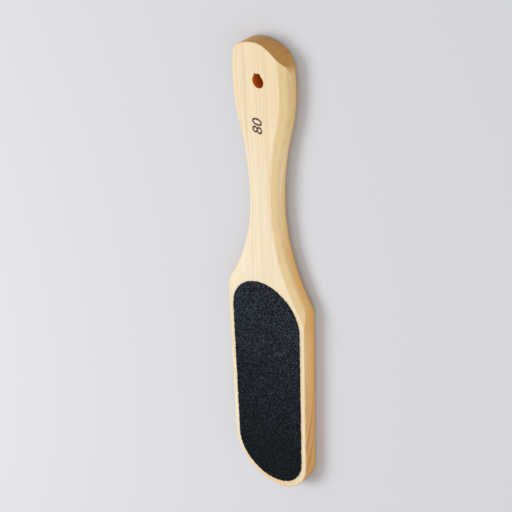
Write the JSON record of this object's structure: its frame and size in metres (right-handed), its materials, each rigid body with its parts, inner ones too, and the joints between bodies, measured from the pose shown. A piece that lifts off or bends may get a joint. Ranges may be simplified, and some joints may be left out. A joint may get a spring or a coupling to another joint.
{
  "type": "foot file",
  "caption": "Flat wooden foot file: broad round-tipped paddle with a coarse abrasive sheet in front and a fine one behind, waisted bevelled handle, hanging hole.",
  "frame": {"origin": "middle of the footprint, on the surface that the file lies on with its fine face down", "axes": "+Y from the paddle's tip to the end of the handle, +Z out of the coarse face, +X across the paddle"},
  "size_m": [0.0472, 0.25, 0.0092],
  "materials": {
    "wood": "satin",
    "adhesive": "matte",
    "backing": "matte",
    "coarse_grit": "matte",
    "fine_grit": "matte"
  },
  "bodies": {
    "root": {"wooden_body": "wood", "coarse_adhesive_film": "adhesive", "coarse_backing_sheet": "backing", "coarse_grit_coat": "coarse_grit", "fine_adhesive_film": "adhesive", "fine_backing_sheet": "backing", "fine_grit_coat": "fine_grit"}
  },
  "joints": []
}
